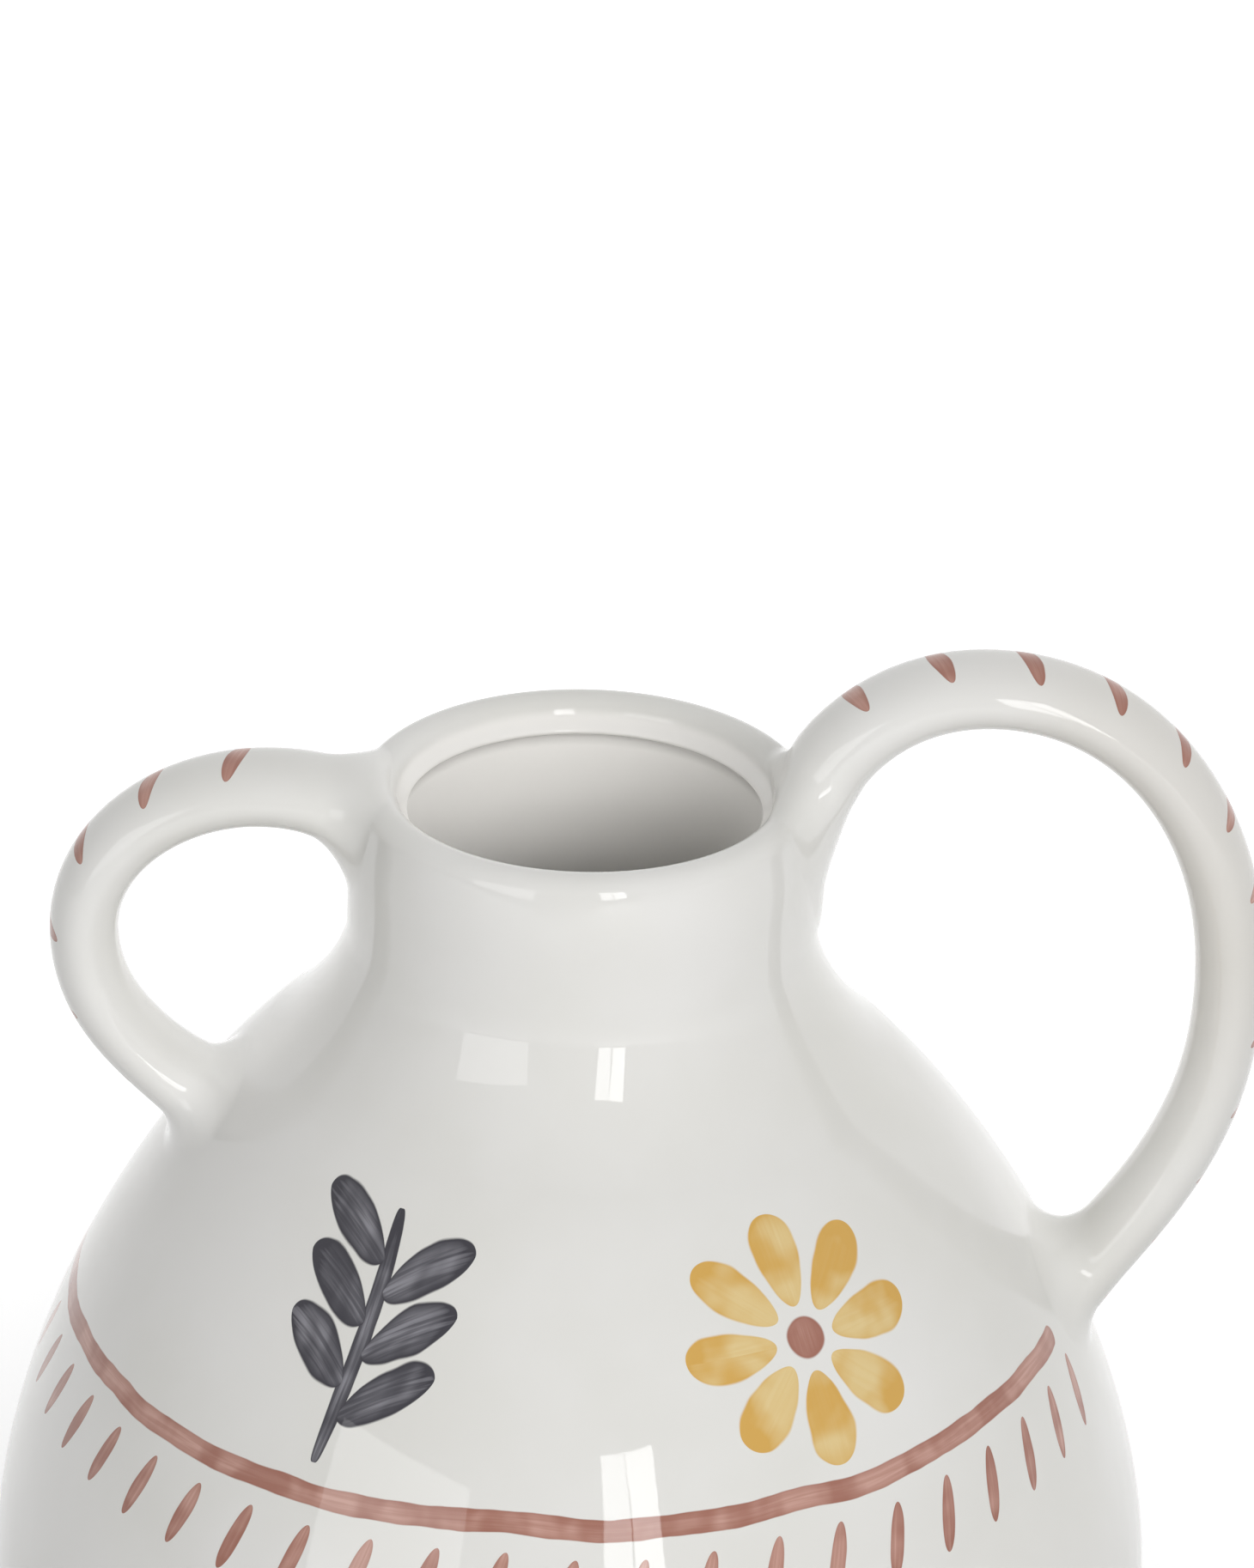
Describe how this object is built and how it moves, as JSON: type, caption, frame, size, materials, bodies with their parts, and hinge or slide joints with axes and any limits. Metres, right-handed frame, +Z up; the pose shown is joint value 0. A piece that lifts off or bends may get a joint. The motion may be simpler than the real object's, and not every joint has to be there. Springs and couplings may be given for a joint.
{
  "type": "stoneware vase",
  "caption": "Ovoid stoneware vase with a short rolled-lip neck, a small handle on one side and a large one rising above the rim on the other, for stems or display.",
  "frame": {"origin": "centre of the overall box on the floor plane, under the foot ring; the body's axis stands 8.8 mm from it towards -X", "axes": "+Z up, +X towards the large handle, -Y towards the viewer of the picture"},
  "size_m": [0.2176, 0.2, 0.2627],
  "materials": {
    "glaze": "glossy off-white glaze over brush decoration",
    "bare_clay": "unglazed, matt, fine-grained"
  },
  "bodies": {
    "root": {"body": "glaze", "foot_ring": "bare_clay", "neck": "glaze", "neck_slip": "glaze", "large_handle": "glaze", "large_handle_upper_fillet": "glaze", "large_handle_lower_fillet": "glaze", "small_handle": "glaze", "small_handle_upper_fillet": "glaze", "small_handle_lower_fillet": "glaze"}
  },
  "joints": []
}
